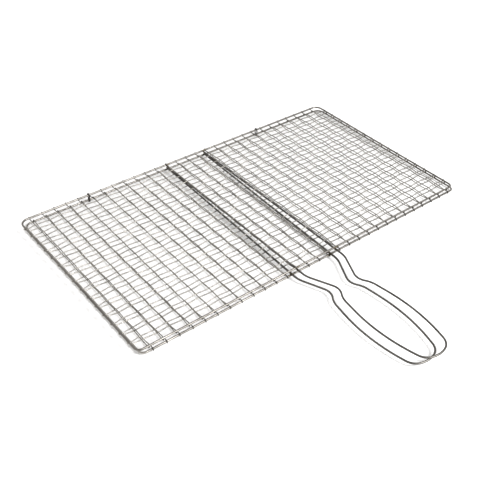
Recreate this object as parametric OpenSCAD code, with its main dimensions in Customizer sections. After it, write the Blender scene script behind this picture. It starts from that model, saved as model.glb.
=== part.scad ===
// Two-sided wire grill basket, lying closed.
// +X runs along the panels, +Y points at the hinged edge, the handles leave towards -Y and +Z is up.
// The origin is on the surface that the basket lies on, at the middle of its outline.

/* [Panels] */
// Length of a panel between the centre lines of its short rails
panel_l = 450; // [432:1:600]
// Width of a panel between the centre lines of its long rails
panel_w = 243; // [236:1:360]
// Radius of a panel's two far corners at the rail's centre line
far_corner_r = 9; // [5:1:9]
// Radius of a panel's two near corners at the rail's centre line
near_corner_r = 6; // [5:1:9]
// Diameter of the heavy wire of the frames and handles
frame_d = 2.2; // [2:0.1:3]
// Height from the lower rails to the upper rails between centre lines
panel_gap = 6.6; // [6.6:0.1:30]
// Distance that the lower panel sits to the right of the upper one, as far as the clips let it slide
panel_slide = 4; // [2:0.5:6]

/* [Mesh] */
// Diameter of the mesh wire
mesh_d = 1.1; // [0.8:0.1:1.1]
// Pitch of the square mesh
mesh_pitch = 15.2; // [12:0.1:15.2]

/* [Handles] */
// Distance between the two legs of a handle
leg_spacing = 56; // [52:1:80]
// Distance that the upper handle sits to the left of the upper panel's middle
upper_offset = 0.6; // [0.4:0.1:4]
// Distance that the lower handle's legs cross the near rail to the left of the lower panel's middle
lower_offset = 12.2; // [10:0.1:13]
// Angle that the lower handle leans to the left of the panel's own direction
lower_lean = 1.8; // [0:0.1:2]
// Reach of the upper handle beyond the near rail
upper_reach = 172; // [167:0.5:260]
// Reach of the lower handle beyond the near rail
lower_reach = 169.5; // [167:0.5:260]
// Width of a handle's grip between centre lines
grip_w = 50; // [46:1:52]
// Width of a handle's neck between centre lines
neck_w = 28.4; // [26:0.1:32]

/* [Hinge clips] */
// Diameter of the clips' wire
clip_d = 1.5; // [1:0.1:1.8]
// Radial play between a clip and the rails that turn in it
clip_play = 0.05; // [0.02:0.01:0.1]
// Place of the left clip along the rails, between the wire ends of both panels
left_clip_x = -140.6; // [-143:0.1:-140.6]
// Place of the right clip along the rails, between the wire ends of both panels
right_clip_x = 112.2; // [111:0.1:117]

/* [Hidden] */
steel = [0.58, 0.57, 0.55];
wire_fn = 32;
bend_fn = 96;

// Mesh wires, numbered from the middle one of each panel
long_wires = 15;
middle_wires = [-2, 2];
last_side_wire = 14;

// Welded wires sink this far into each other
weld_sink = 0.06;
// Gap where the two layers of mesh wires cross
layer_play = 0.02;
// Step from a panel's rails to the middle of its mesh, away from the food and the handle's legs
mesh_outset = 0.2;
// A handle's legs end this far beyond the centre line of the hinge rail
leg_end = 0.4;

frame_r = frame_d / 2;
mesh_r = mesh_d / 2;
layer_z = mesh_r + layer_play / 2;
// A mesh wire ends where its hook round the rail stands out farthest
hook_reach = frame_r + mesh_d;

leg_rise = frame_d - weld_sink;

clip_r = clip_d / 2;
clip_bend_r = frame_r + clip_play + clip_r;

// The clips' lower bends touch the surface
lower_z = clip_bend_r + clip_r;
upper_z = lower_z + panel_gap;

// Each panel's middle
lower_x = panel_slide / 2;
upper_x = -panel_slide / 2;

back_y = panel_w / 2 + clip_bend_r + clip_r;
front_y = -panel_w / 2 - upper_reach - frame_r;
shift_y = -(back_y + front_y) / 2;

// Bends of a handle: distance back from the handle's end, and radius
end_bend = [5, 15];
belly_bend = [52.5, 186];
flare_bend = [110.5, 25];
neck_bend = [123, 14];
shoulder_bend = [157.5, 25];
tip_bend_r = 28;
// Half widths where the straight runs on both sides of a bend would meet
end_half = 16.5;
flare_half = 20.7;
belly_half = grip_w / 2 + belly_bend[1] * (1 / cos(12) - 1);
neck_half = neck_w / 2 - neck_bend[1] * (1 / cos(30) - 1);

// A handle's wire is swept with this many sides, and a ring at each of these steps round a bend
sweep_sides = 12;
sweep_step = 7.5;

function two(n) = n < 10 ? str("0", n) : str(n);
function long_name(panel, i) = str(panel, "_long_wire_", two(i));

function unit(v) = v / norm(v);

// Points round the bend of radius r at b, on the way from a to c
function bend_points(a, b, c, r) =
    let (
        u = unit(a - b),
        v = unit(c - b),
        turn = acos(-u * v),
        centre = b + unit(u + v) * r / cos(turn / 2),
        start = b + u * r * tan(turn / 2) - centre,
        way = u[0] * v[1] - u[1] * v[0] < 0 ? 1 : -1,
        steps = max(2, ceil(turn / sweep_step)),
        first = atan2(start[1], start[0])
    )
    [for (k = [0 : steps]) let (t = first + way * turn * k / steps) centre + r * [cos(t), sin(t)]];

// A path through the corners [point, radius], with every corner but the two ends rounded
function rounded_path(corners) =
    let (last = len(corners) - 1)
    [
        corners[0][0],
        for (i = [1 : last - 1])
            each bend_points(corners[i - 1][0], corners[i][0], corners[i + 1][0], corners[i][1]),
        corners[last][0]
    ];

// Corners of one half of a handle, from its leg's end at the hinged edge to its tip
function handle_half(reach, side) =
    let (tip_y = -panel_w / 2 - reach)
    [
        [[side * leg_spacing / 2, panel_w / 2 + leg_end], 0],
        [[side * leg_spacing / 2, tip_y + shoulder_bend[0]], shoulder_bend[1]],
        [[side * neck_half, tip_y + neck_bend[0]], neck_bend[1]],
        [[side * flare_half, tip_y + flare_bend[0]], flare_bend[1]],
        [[side * belly_half, tip_y + belly_bend[0]], belly_bend[1]],
        [[side * end_half, tip_y + end_bend[0]], end_bend[1]]
    ];

function reversed(list) = [for (i = [len(list) - 1 : -1 : 0]) list[i]];

// Directions along a flat path at each of its points
function headings(path) =
    let (last = len(path) - 1)
    [for (i = [0 : last]) unit(path[min(i + 1, last)] - path[max(i - 1, 0)])];

// A round wire along a flat path
module swept_wire(path, r) {
    along = headings(path);
    rings = len(path);
    points = [
        for (i = [0 : rings - 1], k = [0 : sweep_sides - 1])
            let (a = 360 * k / sweep_sides)
            [path[i][0] - along[i][1] * r * cos(a), path[i][1] + along[i][0] * r * cos(a), r * sin(a)]
    ];
    sides = [
        for (i = [0 : rings - 2], k = [0 : sweep_sides - 1])
            let (j = (k + 1) % sweep_sides, at = i * sweep_sides, next = at + sweep_sides)
            each [[at + k, next + k, next + j], [at + k, next + j, at + j]]
    ];
    ends = [
        [for (k = [0 : sweep_sides - 1]) k],
        [for (k = [sweep_sides - 1 : -1 : 0]) (rings - 1) * sweep_sides + k]
    ];
    polyhedron(points, concat(sides, ends));
}

// A rectangle of heavy wire with rounded corners
module frame(x, z) {
    half_l = panel_l / 2;
    half_w = panel_w / 2;
    color(steel) translate([x, shift_y, z]) {
        for (side = [-1, 1]) {
            r = side < 0 ? near_corner_r : far_corner_r;
            translate([r - half_l, side * half_w, 0]) rotate([0, 90, 0])
                cylinder(r = frame_r, h = panel_l - 2 * r, $fn = wire_fn);
            translate([side * half_l, half_w - far_corner_r, 0]) rotate([90, 0, 0])
                cylinder(r = frame_r, h = panel_w - far_corner_r - near_corner_r, $fn = wire_fn);
            for (flip_x = [0, 1]) mirror([flip_x, 0, 0]) mirror([0, (1 - side) / 2, 0])
                translate([half_l - r, half_w - r, 0]) rotate_extrude(angle = 90, $fn = bend_fn)
                    translate([r, 0]) circle(r = frame_r, $fn = wire_fn);
        }
    }
}

// Two legs that cross a panel and meet in a long loop with a narrow neck, turned about the near rail
module handle(x, z, reach, lean) {
    left = handle_half(reach, -1);
    right = handle_half(reach, 1);
    tip = [[0, -panel_w / 2 - reach], tip_bend_r];
    color(steel) translate([x, shift_y - panel_w / 2, z]) rotate([0, 0, -lean])
        translate([0, panel_w / 2, 0])
            swept_wire(rounded_path(concat(left, [tip], reversed(right))), frame_r);
}

// One mesh wire that runs along a panel, from hook to hook
module long_wire(x, z, i) {
    y = (i - (long_wires + 1) / 2) * mesh_pitch;
    length = panel_l + 2 * hook_reach;
    color(steel) translate([x - length / 2, shift_y + y, z]) rotate([0, 90, 0])
        cylinder(r = mesh_r, h = length, $fn = wire_fn);
}

// Mesh wires that run across a panel, from hook to hook
module cross_wires(x, z, first, last) {
    length = panel_w + 2 * hook_reach;
    color(steel) for (i = [first : last])
        translate([x + i * mesh_pitch, shift_y + length / 2, z]) rotate([90, 0, 0])
            cylinder(r = mesh_r, h = length, $fn = wire_fn);
}

// A closed link of wire that holds the two hinge rails together
module hinge_clip(x) {
    color(steel) translate([x, shift_y + panel_w / 2, lower_z]) rotate([90, 0, 90]) {
        for (side = [-1, 1]) translate([side * clip_bend_r, 0, 0]) rotate([-90, 0, 0])
            cylinder(r = clip_r, h = panel_gap, $fn = wire_fn);
        for (top = [0, 1]) translate([0, top * panel_gap, 0]) mirror([0, 1 - top, 0])
            rotate_extrude(angle = 180, $fn = bend_fn)
                translate([clip_bend_r, 0]) circle(r = clip_r, $fn = wire_fn);
    }
}

// Both handles lie on the food's side of their panel's rails, and one just clears the other
module lower_frame() frame(lower_x, lower_z);
module upper_frame() frame(upper_x, upper_z);
module lower_handle() handle(lower_x - lower_offset, lower_z + leg_rise, lower_reach, lower_lean);
module upper_handle() handle(upper_x - upper_offset, upper_z - leg_rise, upper_reach, 0);

// The two layers of long wires face the food
module lower_cross_wires(first, last)
    cross_wires(lower_x, lower_z - mesh_outset - layer_z, first, last);
module upper_cross_wires(first, last)
    cross_wires(upper_x, upper_z + mesh_outset + layer_z, first, last);
module lower_cross_wires_left() lower_cross_wires(-last_side_wire, middle_wires[0] - 1);
module lower_cross_wires_middle() lower_cross_wires(middle_wires[0], middle_wires[1]);
module lower_cross_wires_right() lower_cross_wires(middle_wires[1] + 1, last_side_wire);
module upper_cross_wires_left() upper_cross_wires(-last_side_wire, middle_wires[0] - 1);
module upper_cross_wires_middle() upper_cross_wires(middle_wires[0], middle_wires[1]);
module upper_cross_wires_right() upper_cross_wires(middle_wires[1] + 1, last_side_wire);
module lower_long_wire(i) long_wire(lower_x, lower_z - mesh_outset + layer_z, i);
module upper_long_wire(i) long_wire(upper_x, upper_z + mesh_outset - layer_z, i);
module left_hinge_clip() hinge_clip(left_clip_x);
module right_hinge_clip() hinge_clip(right_clip_x);

lower_frame();
lower_handle();
lower_cross_wires_left();
lower_cross_wires_middle();
lower_cross_wires_right();
upper_frame();
upper_handle();
upper_cross_wires_left();
upper_cross_wires_middle();
upper_cross_wires_right();
for (i = [1 : long_wires]) {
    lower_long_wire(i);
    upper_long_wire(i);
}
left_hinge_clip();
right_hinge_clip();
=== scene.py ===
"""Folding wire grill basket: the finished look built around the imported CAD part.

Two woven wire panels in hoop frames are joined by two hinge clips along the far side.
Each panel carries a long wire handle. Lengths in the dataclass fields are millimetres.
"""

import logging
import math
import random
from dataclasses import dataclass, field
from enum import Enum

import bmesh
import bpy
from mathutils import Matrix, Vector


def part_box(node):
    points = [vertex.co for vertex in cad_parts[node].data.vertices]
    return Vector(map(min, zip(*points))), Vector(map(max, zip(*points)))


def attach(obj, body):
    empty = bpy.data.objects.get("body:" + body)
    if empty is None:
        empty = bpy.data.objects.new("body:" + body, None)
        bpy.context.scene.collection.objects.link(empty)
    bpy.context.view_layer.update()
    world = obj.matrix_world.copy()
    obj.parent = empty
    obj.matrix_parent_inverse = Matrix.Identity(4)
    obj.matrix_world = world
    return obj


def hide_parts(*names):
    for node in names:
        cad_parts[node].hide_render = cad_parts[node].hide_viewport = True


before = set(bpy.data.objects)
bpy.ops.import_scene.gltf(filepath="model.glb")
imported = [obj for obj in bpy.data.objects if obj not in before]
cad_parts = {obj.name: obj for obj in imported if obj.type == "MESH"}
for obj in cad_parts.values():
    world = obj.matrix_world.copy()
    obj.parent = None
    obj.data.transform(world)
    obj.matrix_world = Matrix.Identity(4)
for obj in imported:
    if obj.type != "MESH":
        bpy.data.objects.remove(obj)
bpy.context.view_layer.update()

MM = 0.001
ARC = 4.0 / 3.0
LOG = logging.getLogger("grill_basket")

Colour = tuple[float, float, float]
Triple = tuple[float, float, float]


class Panel(Enum):
    """One of the two woven panels of the basket."""

    LOWER = "lower"
    UPPER = "upper"

    @property
    def body(self) -> str:
        """Name of the CAD body that the panel moves with."""
        return f"{self.value}_panel"

    @property
    def food_side(self) -> float:
        """Sign along Z of the side that faces the food."""
        return 1.0 if self is Panel.LOWER else -1.0


class Axis(Enum):
    """Direction that a mesh wire runs in."""

    LONG = "long"
    CROSS = "cross"


# --------------------------------------------------------------------------------------
# Finishes
# --------------------------------------------------------------------------------------


class NodeBench:
    """Small helper that adds and links shader nodes in one material."""

    def __init__(self, name: str) -> None:
        """Start an empty node tree.

        Args:
            name: Name of the material.
        """
        self.material = bpy.data.materials.new(name)
        self.material.use_nodes = True
        self.tree = self.material.node_tree
        self.shader = self.tree.nodes["Principled BSDF"]
        self.coords = self.add("ShaderNodeTexCoord").outputs["Object"]

    def add(self, kind: str, **settings: object) -> bpy.types.Node:
        """Add a node.

        Args:
            kind: Blender's node type name.
            **settings: Properties of the node.

        Returns:
            The new node.
        """
        node = self.tree.nodes.new(kind)
        for key, value in settings.items():
            setattr(node, key, value)
        return node

    def feed(self, socket: bpy.types.NodeSocket, source: object) -> None:
        """Link or set an input.

        Args:
            socket: The input to feed.
            source: An output socket to link, or a plain value.
        """
        if isinstance(source, bpy.types.NodeSocket):
            self.tree.links.new(source, socket)
        else:
            socket.default_value = source

    def maths(self, operation: str, *inputs: object) -> bpy.types.NodeSocket:
        """Add a Math node.

        Args:
            operation: Blender's name of the operation.
            *inputs: Output sockets or numbers.

        Returns:
            The result socket.
        """
        node = self.add("ShaderNodeMath", operation=operation)
        for socket, source in zip(node.inputs, inputs):
            self.feed(socket, source)
        return node.outputs["Value"]

    def spread(
        self, value: object, low: float, high: float, to_low: float, to_high: float
    ) -> bpy.types.NodeSocket:
        """Map a range smoothly onto another.

        Args:
            value: Output socket that is mapped.
            low: Start of the incoming range.
            high: End of the incoming range.
            to_low: Result at low.
            to_high: Result at high.

        Returns:
            The result socket.
        """
        node = self.add("ShaderNodeMapRange", interpolation_type="SMOOTHSTEP")
        for key, source in zip(
            ("Value", "From Min", "From Max", "To Min", "To Max"),
            (value, low, high, to_low, to_high),
        ):
            self.feed(node.inputs[key], source)
        return node.outputs["Result"]

    def noise(
        self, scale: Triple, detail: float = 2.0, roughness: float = 0.5
    ) -> bpy.types.NodeSocket:
        """Add a noise stretched along the axes.

        Args:
            scale: Repeats per metre along X, Y and Z.
            detail: Octaves of the noise.
            roughness: Strength of the finer octaves.

        Returns:
            The noise value socket.
        """
        mapping = self.add("ShaderNodeMapping")
        self.feed(mapping.inputs["Vector"], self.coords)
        self.feed(mapping.inputs["Scale"], scale)
        node = self.add("ShaderNodeTexNoise")
        self.feed(node.inputs["Vector"], mapping.outputs["Vector"])
        self.feed(node.inputs["Scale"], 1.0)
        self.feed(node.inputs["Detail"], detail)
        self.feed(node.inputs["Roughness"], roughness)
        return node.outputs["Fac"]

    def along(self, axis: str) -> bpy.types.NodeSocket:
        """One of the piece's own coordinates.

        Args:
            axis: X, Y or Z.

        Returns:
            The coordinate, in metres.
        """
        split = self.add("ShaderNodeSeparateXYZ")
        self.feed(split.inputs["Vector"], self.coords)
        return split.outputs[axis]

    def mix(self, factor: object, first: object, second: object) -> bpy.types.NodeSocket:
        """Mix two colours.

        Args:
            factor: Share of the second colour.
            first: Colour or socket at factor 0.
            second: Colour or socket at factor 1.

        Returns:
            The mixed colour socket.
        """
        node = self.add("ShaderNodeMix", data_type="RGBA")
        self.feed(node.inputs["Factor"], factor)
        for key, source in (("A", first), ("B", second)):
            socket = [s for s in node.inputs if s.name == key and s.type == "RGBA"][0]
            plain = isinstance(source, tuple)
            self.feed(socket, (*source, 1.0) if plain else source)
        return [s for s in node.outputs if s.type == "RGBA"][0]


@dataclass(frozen=True)
class SteelFinish:
    """Drawn steel wire with die lines, dull patches, heat tint, painted shade at the hooks and a
    painted highlight on the left side.

    The field for the painted hook shade holds the X of the right rail and the Y of the near and
    far rails, and the field for the painted highlight the X of the left rail. Either is left out
    where the wire shows none.
    """

    name: str
    slot: str
    clean: Colour
    dull: Colour
    tint: Colour = (0.085, 0.068, 0.042)
    # Scorch colour: real scorch at the welds, and also the painted shade at the hooks.
    scorch_and_hook_shade: Colour = (0.04, 0.034, 0.028)
    roughness: float = 0.34
    grain: Triple = (90.0, 90.0, 90.0)
    patch: float = 55.0
    bump: float = 0.12
    welds: tuple[Triple, ...] = ()
    weld_reach: float = 6.0
    # Painted shade where the wires curl round the rails: the rails' places and the reach of the
    # shade.
    hook_shade_sides: Triple | None = None
    hook_shade_reach: float = 2.6
    # Painted highlight near the left rail: the rail's place and the highlight colour.
    painted_highlight_side: float | None = None
    painted_highlight_colour: Colour = (0.44, 0.42, 0.39)

    def material(self) -> bpy.types.Material:
        """Build the node material.

        Returns:
            The finished material.
        """
        bench = NodeBench(self.name)
        patches = bench.noise((self.patch,) * 3, 3.0, 0.6)
        speckle = bench.noise((900.0, 900.0, 900.0), 2.0, 0.6)
        lines = bench.noise(self.grain, 2.0, 0.55)
        dulling = bench.spread(patches, 0.38, 0.66, 0.0, 1.0)
        colour = bench.mix(dulling, self.clean, self.dull)
        # Painted highlight: lighter steel towards the left rail.
        if self.painted_highlight_side is not None:
            colour = bench.mix(self._painted_highlight_mask(bench), colour, self.painted_highlight_colour)
        darker = tuple(0.55 * c for c in self.clean)
        colour = bench.mix(bench.spread(lines, 0.5, 0.75, 0.0, 0.5), colour, darker)
        colour = bench.mix(bench.spread(speckle, 0.62, 0.78, 0.0, 0.45), colour, self.dull)
        heat = self._heat(bench)
        if heat is not None:
            colour = bench.mix(bench.spread(heat, 0.0, 0.7, 0.0, 0.85), colour, self.tint)
            colour = bench.mix(bench.spread(heat, 0.6, 1.0, 0.0, 0.8), colour, self.scorch_and_hook_shade)
        # Painted shade, darker towards the right, near and far rails where the wires curl round
        # them.
        if self.hook_shade_sides is not None:
            colour = bench.mix(self._painted_hook_shade(bench), colour, self.scorch_and_hook_shade)
        bench.feed(bench.shader.inputs["Base Color"], colour)
        rough = bench.spread(patches, 0.3, 0.7, self.roughness - 0.06, self.roughness + 0.1)
        rough = bench.maths("ADD", rough, bench.maths("MULTIPLY", lines, 0.08))
        bench.feed(bench.shader.inputs["Roughness"], rough)
        bench.shader.inputs["Metallic"].default_value = 1.0
        bump = bench.add("ShaderNodeBump")
        bump.inputs["Strength"].default_value = self.bump
        bump.inputs["Distance"].default_value = 0.05 * MM
        bench.feed(bump.inputs["Height"], bench.maths("ADD", lines, speckle))
        bench.feed(bench.shader.inputs["Normal"], bump.outputs["Normal"])
        return bench.material

    def _heat(self, bench: NodeBench) -> bpy.types.NodeSocket | None:
        """Heat mask, 1 at a weld and 0 beyond its reach.

        Args:
            bench: Node helper of the material.

        Returns:
            The mask socket, or None where nothing is welded.
        """
        heat = None
        for place in self.welds:
            gap = bench.add("ShaderNodeVectorMath", operation="DISTANCE")
            bench.feed(gap.inputs[0], bench.coords)
            bench.feed(gap.inputs[1], place)
            near = bench.spread(gap.outputs["Value"], 1.0 * MM, self.weld_reach * MM, 1.0, 0.0)
            heat = near if heat is None else bench.maths("MAXIMUM", heat, near)
        if heat is None:
            return None
        uneven = bench.spread(bench.noise((260.0, 260.0, 260.0), 2.0), 0.3, 0.7, 0.65, 1.0)
        return bench.maths("MULTIPLY", heat, uneven)


    def _painted_hook_shade(self, bench: NodeBench) -> bpy.types.NodeSocket:
        """Painted shade mask, strong where a wire is curled round three sides and 0 inside the
        panel.

        Args:
            bench: Node helper of the material.

        Returns:
            The mask socket.
        """
        right, near, far = self.hook_shade_sides
        gap = bench.maths("SUBTRACT", right, bench.along("X"))
        for inside in (
            bench.maths("SUBTRACT", bench.along("Y"), near),
            bench.maths("SUBTRACT", far, bench.along("Y")),
        ):
            gap = bench.maths("MINIMUM", gap, inside)
        return bench.spread(gap, 0.4 * MM, self.hook_shade_reach * MM, 0.75, 0.0)

    def _painted_highlight_mask(self, bench: NodeBench) -> bpy.types.NodeSocket:
        """Painted highlight mask of the left side, where the steel is painted brighter.

        Args:
            bench: Node helper of the material.

        Returns:
            The mask socket.
        """
        gap = bench.maths("SUBTRACT", bench.along("X"), self.painted_highlight_side)
        return bench.spread(gap, 2.0 * MM, 12.0 * MM, 0.8, 0.0)


@dataclass(frozen=True)
class FloorFinish:
    """Plain pale sweep that the basket lies on."""

    name: str = "studio_floor"
    colour: Colour = (0.93, 0.93, 0.93)

    def material(self) -> bpy.types.Material:
        """Build the matt floor material.

        Returns:
            The floor material.
        """
        bench = NodeBench(self.name)
        cloud = bench.spread(bench.noise((3.0, 3.0, 3.0)), 0.2, 0.8, 0.0, 1.0)
        paler = tuple(min(1.0, c + 0.02) for c in self.colour)
        bench.feed(bench.shader.inputs["Base Color"], bench.mix(cloud, self.colour, paler))
        bench.shader.inputs["Roughness"].default_value = 0.9
        bench.shader.inputs["Specular IOR Level"].default_value = 0.1
        return bench.material


# --------------------------------------------------------------------------------------
# Wires
# --------------------------------------------------------------------------------------


@dataclass
class Knot:
    """One control point of a bent wire, in metres."""

    at: Vector
    back: Vector
    ahead: Vector
    thickness: float = 1.0


@dataclass
class BentWire:
    """A round wire along a Bezier line."""

    name: str
    radius: float
    knots: list[Knot] = field(default_factory=list)
    closed: bool = False
    sides: int = 3
    steps: int = 8

    def add(self, at: Vector, back: Vector, ahead: Vector, thickness: float = 1.0) -> None:
        """Add a knot.

        Args:
            at: Place of the knot.
            back: Offset of the handle towards the start.
            ahead: Offset of the handle towards the end.
            thickness: Share of the full radius.
        """
        self.knots.append(Knot(at, at + back, at + ahead, thickness))

    def cut_end(self, last: bool, chamfer: float = 0.25) -> None:
        """Break the edge of a cut end by narrowing the wire over its last stretch.

        Args:
            last: Whether the end to cut is the last knot, and not the first.
            chamfer: Length and depth of the broken edge, as a share of the radius.
        """
        knots = self.knots
        tip = knots[-1] if last else knots[0]
        inner = tip.back if last else tip.ahead
        way = (inner - tip.at).normalized()
        step = way * self.radius * chamfer
        inside = Knot(tip.at + step, tip.at + step, tip.at + step, tip.thickness)
        if last:
            inside.back = tip.at + step + (tip.back - tip.at) * 0.8
            inside.ahead = tip.at + step * 0.6
            tip.back = tip.at + step * 0.4
            knots.insert(len(knots) - 1, inside)
        else:
            inside.ahead = tip.at + step + (tip.ahead - tip.at) * 0.8
            inside.back = tip.at + step * 0.6
            tip.ahead = tip.at + step * 0.4
            knots.insert(1, inside)
        tip.thickness *= 1.0 - chamfer

    def build(self, material: bpy.types.Material) -> bpy.types.Object:
        """Make the curve object.

        Args:
            material: Finish of the wire.

        Returns:
            The new object.
        """
        curve = bpy.data.curves.new(self.name, "CURVE")
        curve.dimensions = "3D"
        curve.twist_mode = "MINIMUM"
        curve.bevel_depth = self.radius
        curve.bevel_resolution = self.sides
        curve.resolution_u = self.steps
        curve.render_resolution_u = 0
        curve.use_fill_caps = True
        spline = curve.splines.new("BEZIER")
        spline.bezier_points.add(len(self.knots) - 1)
        spline.use_cyclic_u = self.closed
        spline.use_smooth = True
        for point, knot in zip(spline.bezier_points, self.knots):
            point.handle_left_type = point.handle_right_type = "FREE"
            point.co, point.radius = knot.at, knot.thickness
            point.handle_left, point.handle_right = knot.back, knot.ahead
        curve.materials.append(material)
        piece = bpy.data.objects.new(self.name, curve)
        bpy.context.scene.collection.objects.link(piece)
        return piece


def dress(piece: bpy.types.Object, body: str, slot: str, *nodes: str) -> None:
    """Attach a finished piece to the body it moves with and hide the CAD nodes it stands for.

    Args:
        piece: The finished piece.
        body: CAD body that it moves with.
        slot: Material slot of the record. It is not used.
        *nodes: CAD nodes that it stands for.
    """
    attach(piece, body)
    if nodes:
        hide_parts(*nodes)
    LOG.info("%s rides on %s for %s", piece.name, body, ", ".join(nodes) or "no node")


# --------------------------------------------------------------------------------------
# Hoop frames
# --------------------------------------------------------------------------------------


@dataclass
class HoopFrame:
    """Rounded rectangle of thick wire round one panel."""

    panel: Panel
    near_corner: float = 6.0
    far_corner: float = 9.0
    bow_near: float = 0.35
    bow_left: float = 0.6
    bow_right: float = 0.4

    def __post_init__(self) -> None:
        """Read the wire's place from its CAD node."""
        low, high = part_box(f"{self.panel.value}_frame")
        self.radius = (high.z - low.z) / 2
        self.z = (high.z + low.z) / 2
        self.left, self.right = low.x + self.radius, high.x - self.radius
        self.near, self.far = low.y + self.radius, high.y - self.radius

    def inward(self, bow: float, place: float, start: float, end: float) -> float:
        """How far a side lies inside its straight line at a place along it.

        Args:
            bow: Deepest inward bow of the side.
            place: Coordinate along the side.
            start: Coordinate of the side's first corner.
            end: Coordinate of the side's last corner.

        Returns:
            The inward offset, in metres.
        """
        half = (end - start) / 2 - self.far_corner * MM
        share = 1 - min(1.0, abs(place - (start + end) / 2) / half)
        return bow * MM * share * share * (3 - 2 * share)

    def side_x(self, left: bool, y: float) -> float:
        """Centre line of the left or right side at a given Y.

        Args:
            left: Whether the left side is asked for.
            y: Place along the side.

        Returns:
            The X coordinate.
        """
        bow = self.bow_left if left else self.bow_right
        offset = self.inward(bow, y, self.near, self.far)
        return self.left + offset if left else self.right - offset

    def side_y(self, near: bool, x: float) -> float:
        """Centre line of the near or far side at a given X.

        Args:
            near: Whether the near side is asked for.
            x: Place along the side.

        Returns:
            The Y coordinate.
        """
        if near:
            return self.near + self.inward(self.bow_near, x, self.left, self.right)
        return self.far

    def build(self, finish: SteelFinish) -> None:
        """Make the hoop and dress it.

        Args:
            finish: Steel of the hoop.
        """
        name = self.panel.value
        wire = BentWire(f"{name}_hoop_wire", self.radius, closed=True, sides=6, steps=10)
        near, far = self.near_corner * MM, self.far_corner * MM
        right, back = Vector((1, 0, 0)), Vector((0, 1, 0))
        corners = (
            (Vector((self.left, self.near, self.z)), -back, right, near),
            (Vector((self.right, self.near, self.z)), right, back, near),
            (Vector((self.right, self.far, self.z)), back, -right, far),
            (Vector((self.left, self.far, self.z)), -right, -back, far),
        )
        bows = (back * self.bow_near, -right * self.bow_right, Vector(), right * self.bow_left)
        for index, (corner, entering, leaving, r) in enumerate(corners):
            following = corners[(index + 1) % 4][0]
            kappa = ARC * math.tan(math.pi / 8) * r
            third_in = ((corner - corners[index - 1][0]).length / 2 - r) / 3
            third_out = ((following - corner).length / 2 - r) / 3
            wire.add(corner - entering * r, -entering * third_in, entering * kappa)
            wire.add(corner + leaving * r, -leaving * kappa, leaving * third_out)
            middle = (corner + following) / 2 + bows[index] * MM
            wire.add(middle, -leaving * third_out, leaving * third_out)
        dress(wire.build(finish.material()), self.panel.body, finish.slot, f"{name}_frame")


# --------------------------------------------------------------------------------------
# Woven panels
# --------------------------------------------------------------------------------------


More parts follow.
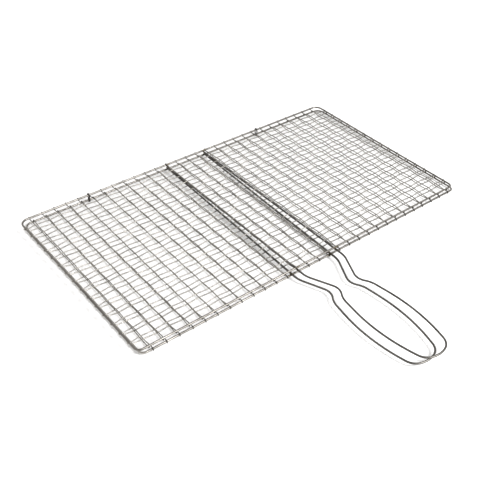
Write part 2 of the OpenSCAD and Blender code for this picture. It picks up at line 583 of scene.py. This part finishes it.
@dataclass
class WovenPanel:
    """Crimped wires woven over and under, with ends curled round the hoop."""

    hoop: HoopFrame
    finish_long: SteelFinish
    finish_cross: SteelFinish
    long_wires: int = 15
    side_wires: int = 14
    middle_wires: int = 2
    long_crimp: float = 0.60
    cross_crimp: float = 0.52
    crest: float = 0.22
    hook_turn: float = 28.0
    wander: float = 0.28
    pinch_left: float = 0.9
    pinch_other: float = 0.35
    pinch_reach: float = 38.0
    leg_room: float = 2.9
    cut_chamfer: float = 0.3
    legs: tuple[Triple, ...] = ()
    seed: int = 4

    def __post_init__(self) -> None:
        """Read the weave's levels and places from the CAD nodes."""
        name = self.hoop.panel.value
        self.rows = []
        for index in range(1, self.long_wires + 1):
            low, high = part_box(f"{name}_long_wire_{index:02d}")
            self.rows.append((low.y + high.y) / 2)
            self.radius = (high.z - low.z) / 2
            self.long_z = (high.z + low.z) / 2
        low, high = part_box(f"{name}_cross_wires_middle")
        self.cross_z = (high.z + low.z) / 2
        span = high.x - low.x - 2 * self.radius
        self.pitch = span / (2 * self.middle_wires)
        centre = (high.x + low.x) / 2
        self.columns = [
            centre + self.pitch * k for k in range(-self.side_wires, self.side_wires + 1)
        ]
        self.level = (self.long_z + self.cross_z) / 2

    def build(self) -> None:
        """Make every wire of the panel and dress it."""
        name, body = self.hoop.panel.value, self.hoop.panel.body
        chance = random.Random(self.seed)
        steel_long, steel_cross = self.finish_long.material(), self.finish_cross.material()
        for row, y in enumerate(self.rows):
            wire = self._wire(Axis.LONG, row, y, f"{name}_lengthwise_wire_{row + 1:02d}", chance)
            node = f"{name}_long_wire_{row + 1:02d}"
            dress(wire.build(steel_long), body, self.finish_long.slot, node)
        for column, x in enumerate(self.columns):
            wire = self._wire(
                Axis.CROSS, column, x, f"{name}_crosswise_wire_{column + 1:02d}", chance
            )
            node = f"{name}_cross_wires_{self._group(column - self.side_wires)}"
            dress(wire.build(steel_cross), body, self.finish_cross.slot, node)

    def _group(self, k: int) -> str:
        """Name of the CAD group that a crosswise wire belongs to.

        Args:
            k: Number of the wire, 0 at the middle.

        Returns:
            The last word of the CAD node's name.
        """
        if abs(k) <= self.middle_wires:
            return "middle"
        return "left" if k < 0 else "right"

    def _wire(
        self, axis: Axis, index: int, across: float, name: str, chance: random.Random
    ) -> BentWire:
        """Shape one wire with its crimps and both hooks.

        Args:
            axis: Direction of the wire.
            index: Number of the wire among its own kind, from 0.
            across: Its place across its own direction.
            name: Name of the piece.
            chance: Seeded source of the small unevenness.

        Returns:
            The shaped wire.
        """
        is_long = axis is Axis.LONG
        along = Vector((1, 0, 0)) if is_long else Vector((0, 1, 0))
        aside = Vector((0, 1, 0)) if is_long else Vector((1, 0, 0))
        crossings = self.columns if is_long else self.rows
        crimp = (self.long_crimp if is_long else self.cross_crimp) * MM
        offset, sway, phase = (
            chance.uniform(-1, 1) * self.wander * MM,
            chance.uniform(0.3, 1) * self.wander * MM,
            chance.uniform(0, 2 * math.pi),
        )
        first, last = self._ends(axis, across)
        wire = BentWire(name, self.radius, sides=2, steps=6)
        self._hook(wire, first, -along, aside * (across + offset), opening=True)
        for number, place in enumerate(crossings):
            over = 1.0 if (index + number) % 2 == 0 else -1.0
            if not is_long:
                over = -over
            share = (place - first) / (last - first)
            wave = math.sin(2 * math.pi * share + phase) * math.sin(math.pi * share)
            drift = offset + sway * wave
            at = along * place + aside * (across + drift)
            at.z = self.level + over * crimp + self._pinch(at)
            reach = self.pitch * self.crest
            wire.add(at, -along * reach, along * reach)
        self._hook(wire, last, along, aside * (across + offset), opening=False)
        wire.cut_end(last=False, chamfer=self.cut_chamfer)
        wire.cut_end(last=True, chamfer=self.cut_chamfer)
        return wire

    def _pinch(self, at: Vector) -> float:
        """Rise of the weave towards the food near the left rail and the other rails.

        Args:
            at: Place of a crossing.

        Returns:
            The rise along Z, in metres.
        """
        left = math.exp(-(at.x - self.hoop.left) / (self.pinch_reach * MM))
        gaps = (self.hoop.right - at.x, at.y - self.hoop.near, self.hoop.far - at.y)
        other = math.exp(-min(gaps) / (0.6 * self.pinch_reach * MM))
        rise = max(self.pinch_left * left, self.pinch_other * other) * MM
        for leg in self.legs:
            if abs(at.x - self._leg_x(leg, at.y)) < self.pitch:
                rise = 0.0
        return rise * self.hoop.panel.food_side

    @staticmethod
    def _leg_x(leg: Triple, y: float) -> float:
        """Centre line of a handle's leg at a given Y.

        Args:
            leg: X and Y of a point of the leg, and its slope.
            y: Place along the leg.

        Returns:
            The X coordinate.
        """
        return leg[0] + (y - leg[1]) * leg[2]

    def _ends(self, axis: Axis, across: float) -> tuple[float, float]:
        """Rail centre lines that a wire spans between.

        Args:
            axis: Direction of the wire.
            across: Its place across its own direction.

        Returns:
            The lower and higher coordinate along the wire.
        """
        if axis is Axis.LONG:
            return self.hoop.side_x(True, across), self.hoop.side_x(False, across)
        return self.hoop.side_y(True, across), self.hoop.side_y(False, across)

    def _hook(
        self, wire: BentWire, rail: float, outward: Vector, aside: Vector, opening: bool
    ) -> None:
        """Add the curled end that holds a wire on the hoop.

        Args:
            wire: Wire that gets the hook.
            rail: Coordinate of the rail's centre line along the wire.
            outward: Direction from the panel towards the rail.
            aside: Offset of the wire across its direction.
            opening: Whether this hook starts the wire.
        """
        turn = math.radians(self.hook_turn)
        room = self.leg_room * MM
        beside = any(abs(aside.x - self._leg_x(leg, rail)) < room for leg in self.legs)
        side = -1.0 if beside and abs(outward.y) > 0.5 else 1.0
        food = Vector((0, 0, self.hoop.panel.food_side * side))
        ring = self.hoop.radius + self.radius
        centre = outward * (rail * (outward.x + outward.y)) + aside
        centre.z = self.hoop.z
        quarter = ARC * math.tan(math.pi / 8) * ring
        short = ARC * math.tan(turn / 4) * ring
        tip = centre + outward * ring * math.cos(turn) - food * ring * math.sin(turn)
        tip_way = outward * math.sin(turn) + food * math.cos(turn)
        knots = [
            (tip, -tip_way * short * 0.2, tip_way * short),
            (centre + outward * ring, -food * short, food * quarter),
            (centre + food * ring, outward * quarter, -outward * self.pitch * 0.3),
        ]
        if opening:
            for at, back, ahead in knots:
                wire.add(at, back, ahead)
        else:
            for at, back, ahead in reversed(knots):
                wire.add(at, ahead, back)


# --------------------------------------------------------------------------------------
# Handles
# --------------------------------------------------------------------------------------


@dataclass
class WireHandle:
    """Bent wire loop with two legs that run back across the panel."""

    panel: Panel
    hoop: HoopFrame
    reach: float
    lean: float
    outline: tuple[Triple, ...] = (
        (28.0, 157.5, 25.0),
        (12.03, 123.0, 14.0),
        (20.7, 110.5, 25.0),
        (29.2, 52.5, 186.0),
        (16.5, 5.0, 15.0),
    )
    tip_radius: float = 28.0
    leg_end: float = 0.4
    stub: float = 0.1

    def __post_init__(self) -> None:
        """Read the handle's place from its CAD node."""
        low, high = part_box(f"{self.panel.value}_handle")
        self.radius = (high.z - low.z) / 2
        self.z = (high.z + low.z) / 2
        self.run = self.hoop.far - self.hoop.near + self.leg_end * MM
        turn = math.radians(self.lean)
        half = self.outline[0][0] * MM + self.radius
        self.crossing = high.x - half * math.cos(turn) - self.run * math.sin(turn)

    def spot(self, across: float, along: float) -> Vector:
        """Point of the handle, which leans about its crossing of the near side.

        Args:
            across: Distance to the right of the handle's own middle line, in metres.
            along: Distance behind the near side, in metres.

        Returns:
            The point in the basket's frame.
        """
        turned = Matrix.Rotation(-math.radians(self.lean), 3, "Z") @ Vector((across, along, 0))
        return Vector((self.crossing, self.hoop.near, self.z)) + turned

    def leg_lines(self) -> tuple[Triple, ...]:
        """Both legs as a point's X and Y and the line's slope.

        Returns:
            One entry for each leg.
        """
        half = self.outline[0][0] * MM
        slope = math.tan(math.radians(self.lean))
        spots = (self.spot(side, 0.0) for side in (-half, half))
        return tuple((spot.x, spot.y, slope) for spot in spots)

    def weld_places(self) -> list[Vector]:
        """Points where the legs are welded to the near and far sides.

        Returns:
            The four contact points.
        """
        half = self.outline[0][0] * MM
        places = []
        for side in (-half, half):
            for near in (True, False):
                place = self.spot(side, 0.0 if near else self.run - self.leg_end * MM)
                place.y = self.hoop.side_y(near, place.x)
                place.z = (self.z + self.hoop.z) / 2
                places.append(place)
        return places

    def build(self, finish: SteelFinish) -> None:
        """Make the handle and dress it.

        Args:
            finish: Steel of the handle.
        """
        name = self.panel.value
        half = list(self.outline)
        full = half + [(0.0, 0.0, self.tip_radius)] + [(-w, b, r) for w, b, r in reversed(half)]
        points = [
            (self.spot(w * MM, (back - self.reach) * MM), r * MM) for w, back, r in full
        ]
        start = self.spot(self.outline[0][0] * MM, self.run)
        end = self.spot(-self.outline[0][0] * MM, self.run)
        wire = BentWire(f"{name}_handle_wire", self.radius, sides=6, steps=12)
        self._bend(wire, start, points, end)
        wire.cut_end(last=False)
        wire.cut_end(last=True)
        dress(wire.build(finish.material()), self.panel.body, finish.slot, f"{name}_handle")

    def _bend(
        self, wire: BentWire, start: Vector, corners: list[tuple[Vector, float]], end: Vector
    ) -> None:
        """Run a wire through rounded corners.

        Args:
            wire: Wire that gets the knots.
            start: First end.
            corners: Corner points with their bend radii.
            end: Last end.
        """
        line = [start] + [c for c, _ in corners] + [end]
        tangents: list[tuple[Vector, Vector, Vector, Vector, float]] = []
        for index, (corner, radius) in enumerate(corners, start=1):
            entering = (corner - line[index - 1]).normalized()
            leaving = (line[index + 1] - corner).normalized()
            turn = entering.angle(leaving)
            cut = radius * math.tan(turn / 2)
            tangents.append(
                (
                    corner - entering * cut,
                    corner + leaving * cut,
                    entering,
                    leaving,
                    ARC * math.tan(turn / 4) * radius,
                )
            )
        previous = start
        way = (line[1] - start).normalized()
        third = (tangents[0][0] - start).length / 3
        wire.add(start, -way * self.stub * MM, way * third)
        for index, (enter, leave, entering, leaving, pull) in enumerate(tangents):
            run_in = (enter - previous).length / 3
            following = tangents[index + 1][0] if index + 1 < len(tangents) else end
            run_out = (following - leave).length / 3
            wire.add(enter, -entering * run_in, entering * pull)
            wire.add(leave, -leaving * pull, leaving * run_out)
            previous = leave
        third = (end - previous).length / 3
        wire.add(end, -(end - previous).normalized() * third, Vector((0, self.stub * MM, 0)))


@dataclass
class WeldSpots:
    """Squeezed weld nuggets between a handle's legs and the hoop."""

    handle: WireHandle
    finish: SteelFinish
    size: Triple = (2.5, 2.5, 1.15)

    def build(self) -> None:
        """Make one nugget for each contact and dress it."""
        steel = self.finish.material()
        panel = self.handle.panel
        for number, place in enumerate(self.handle.weld_places(), start=1):
            name = f"{panel.value}_weld_nugget_{number}"
            mesh = bpy.data.meshes.new(name)
            cage = bmesh.new()
            scale = Matrix.Diagonal((*[s * MM for s in self.size], 1.0))
            bmesh.ops.create_cube(cage, size=1.0, matrix=Matrix.Translation(place) @ scale)
            cage.to_mesh(mesh)
            cage.free()
            mesh.shade_smooth()
            mesh.materials.append(steel)
            piece = bpy.data.objects.new(name, mesh)
            bpy.context.scene.collection.objects.link(piece)
            round_off = piece.modifiers.new("round_off", "SUBSURF")
            round_off.levels = round_off.render_levels = 3
            dress(piece, panel.body, self.finish.slot)


# --------------------------------------------------------------------------------------
# Hinge clips
# --------------------------------------------------------------------------------------


@dataclass
class HingeClip:
    """Small wire link bent round both far rails, its ends meeting at the outside."""

    side: str
    finish: SteelFinish
    wire_d: float = 1.5
    slit: float = 0.35
    skew: float = 0.35

    def build(self) -> None:
        """Make the link and dress it."""
        low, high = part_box(f"{self.side}_hinge_clip")
        radius = self.wire_d * MM / 2
        x = (low.x + high.x) / 2
        middle = (low + high) / 2
        bend = (high.y - low.y) / 2 - radius
        rise = (high.z - low.z) / 2 - radius - bend
        kappa = ARC * math.tan(math.pi / 8) * bend
        top, bottom = middle.z + rise, middle.z - rise
        skew, slit = self.skew * MM, self.slit * MM
        up, out = Vector((0, 0, 1)), Vector((0, 1, 0))
        run = (rise - slit) / 3
        wire = BentWire(f"{self.side}_hinge_link", radius, sides=5, steps=8)

        def spot(y: float, z: float, shift: float) -> Vector:
            """Point of the link.

            Args:
                y: Distance out from the rails' line.
                z: Height.
                shift: Offset along the rails.

            Returns:
                The point.
            """
            return Vector((x + shift, middle.y + y, z))

        wire.add(spot(bend, middle.z + slit, -skew), Vector(), up * run)
        wire.add(spot(bend, top, -skew * 0.7), -up * run, up * kappa)
        wire.add(spot(0, top + bend, -skew * 0.4), out * kappa, -out * kappa)
        wire.add(spot(-bend, top, -skew * 0.2), up * kappa, -up * rise / 1.5)
        wire.add(spot(-bend, bottom, skew * 0.2), up * rise / 1.5, -up * kappa)
        wire.add(spot(0, bottom - bend, skew * 0.4), -out * kappa, out * kappa)
        wire.add(spot(bend, bottom, skew * 0.7), -up * kappa, up * run)
        wire.add(spot(bend, middle.z - slit, skew), -up * run, Vector())
        wire.cut_end(last=False)
        wire.cut_end(last=True)
        dress(
            wire.build(self.finish.material()),
            "hinge_clips",
            self.finish.slot,
            f"{self.side}_hinge_clip",
        )


# --------------------------------------------------------------------------------------
# Studio
# --------------------------------------------------------------------------------------


@dataclass
class Studio:
    """Floor, soft light and the camera. Distances are metres and the key's power is watts."""

    eye: Triple = (-0.45126, -0.45406, 0.52130)
    right: Triple = (0.77832, -0.62709, 0.03134)
    up: Triple = (0.38229, 0.51289, 0.76863)
    forward: Triple = (0.49807, 0.58626, -0.63892)
    lens: float = 53.568
    floor_size: float = 14.0
    key_from: Triple = (0.33, -0.68, 0.66)
    key_distance: float = 1.9
    key_size: float = 0.8
    key_power: float = 44.0
    air: float = 0.88

    def build(self) -> None:
        """Make the whole studio."""
        self._floor()
        self._softbox()
        self._air()
        self._camera()

    def _floor(self) -> None:
        """Make the pale floor."""
        mesh = bpy.data.meshes.new("studio_floor")
        sheet = bmesh.new()
        bmesh.ops.create_grid(sheet, x_segments=1, y_segments=1, size=self.floor_size / 2)
        sheet.to_mesh(mesh)
        sheet.free()
        mesh.materials.append(FloorFinish().material())
        floor = bpy.data.objects.new("studio_floor", mesh)
        bpy.context.scene.collection.objects.link(floor)

    def _softbox(self) -> None:
        """Hang the square key softbox, aimed at the basket."""
        light = bpy.data.lights.new("key_softbox", "AREA")
        light.shape, light.size, light.energy = "SQUARE", self.key_size, self.key_power
        lamp = bpy.data.objects.new("key_softbox", light)
        way = Vector(self.key_from).normalized()
        lamp.location = way * self.key_distance
        lamp.rotation_euler = way.to_track_quat("Z", "Y").to_euler()
        bpy.context.scene.collection.objects.link(lamp)

    def _air(self) -> None:
        """Give the room an even pale light."""
        world = bpy.data.worlds.new("studio_air")
        world.use_nodes = True
        background = world.node_tree.nodes["Background"]
        background.inputs["Color"].default_value = (1.0, 0.99, 0.98, 1.0)
        background.inputs["Strength"].default_value = self.air
        bpy.context.scene.world = world

    def _camera(self) -> None:
        """Place the camera and the plain colour transform."""
        data = bpy.data.cameras.new("studio_camera")
        data.lens, data.sensor_width = self.lens, 36.0
        data.clip_start, data.clip_end = 0.01, 50.0
        camera = bpy.data.objects.new("studio_camera", data)
        axes = Matrix((self.right, self.up, [-v for v in self.forward])).transposed()
        camera.matrix_world = Matrix.Translation(self.eye) @ axes.to_4x4()
        bpy.context.scene.collection.objects.link(camera)
        bpy.context.scene.camera = camera
        bpy.context.scene.view_settings.view_transform = "Standard"


# --------------------------------------------------------------------------------------
# Assembly
# --------------------------------------------------------------------------------------


@dataclass
class GrillBasket:
    """The whole basket, built from its panels, handles and clips.

    `lower_handle` and `upper_handle` hold the reach beyond the near side, in millimetres,
    and the lean to the right, in degrees.
    """

    rail_steel: Colour = (0.215, 0.202, 0.185)
    rail_dull: Colour = (0.14, 0.132, 0.12)
    handle_steel: Colour = (0.135, 0.128, 0.118)
    handle_dull: Colour = (0.09, 0.086, 0.079)
    mesh_steel: Colour = (0.29, 0.275, 0.25)
    mesh_dull: Colour = (0.19, 0.18, 0.163)
    clip_steel: Colour = (0.10, 0.094, 0.086)
    clip_dull: Colour = (0.065, 0.06, 0.056)
    nugget_steel: Colour = (0.11, 0.09, 0.065)
    nugget_dull: Colour = (0.06, 0.05, 0.04)
    lower_handle: tuple[float, float] = (169.45, 1.8)
    upper_handle: tuple[float, float] = (171.94, 0.0)
    first_seed: int = 11

    def build(self) -> None:
        """Build each sub-assembly in order."""
        for number, panel in enumerate(Panel):
            self._panel(panel, number)
        clip = SteelFinish(
            "clip_steel",
            "clip_wire",
            self.clip_steel,
            self.clip_dull,
            roughness=0.38,
            grain=(900.0, 60.0, 60.0),
        )
        for side in ("left", "right"):
            HingeClip(side, clip).build()

    def _panel(self, panel: Panel, number: int) -> None:
        """Build one panel with its handle.

        Args:
            panel: Which panel.
            number: Its number, which varies the unevenness.
        """
        name, lower = panel.value, panel is Panel.LOWER
        hoop = HoopFrame(panel)
        reach, lean = self.lower_handle if lower else self.upper_handle
        handle = WireHandle(panel, hoop, reach, lean)
        welds = tuple(tuple(place) for place in handle.weld_places())
        hoop.build(
            SteelFinish(
                f"{name}_hoop_steel",
                "frame_wire",
                self.rail_steel,
                self.rail_dull,
                roughness=0.27,
                grain=(140.0, 140.0, 1800.0),
                welds=welds,
                # Painted highlight along the left rail, on the lower hoop only.
                painted_highlight_side=hoop.left if lower else None,
            )
        )
        handle.build(
            SteelFinish(
                f"{name}_handle_steel",
                "handle_wire",
                self.handle_steel,
                self.handle_dull,
                grain=(1800.0, 45.0, 1800.0),
                welds=welds,
            )
        )
        nugget = SteelFinish(
            f"{name}_nugget_steel",
            "frame_wire",
            self.nugget_steel,
            self.nugget_dull,
            roughness=0.45,
            grain=(700.0, 700.0, 700.0),
            patch=400.0,
        )
        WeldSpots(handle, nugget).build()
        # Painted shade at the hooks along the right, near and far rails.
        hook_shade_sides = (hoop.right, hoop.near, hoop.far)
        long_steel = SteelFinish(
            f"{name}_lengthwise_steel",
            "mesh_wire",
            self.mesh_steel,
            self.mesh_dull,
            grain=(45.0, 2600.0, 2600.0),
            hook_shade_sides=hook_shade_sides,
            # Painted highlight near the left rail on the lengthwise wires.
            painted_highlight_side=hoop.left,
        )
        cross_steel = SteelFinish(
            f"{name}_crosswise_steel",
            "mesh_wire",
            self.mesh_steel,
            self.mesh_dull,
            grain=(2600.0, 45.0, 2600.0),
            hook_shade_sides=hook_shade_sides,
        )
        seed = self.first_seed + number
        WovenPanel(hoop, long_steel, cross_steel, legs=handle.leg_lines(), seed=seed).build()


def main() -> None:
    """Build the studio and the basket."""
    logging.basicConfig(level=logging.INFO, format="%(message)s")
    Studio().build()
    GrillBasket().build()


if __name__ == "__main__":
    main()
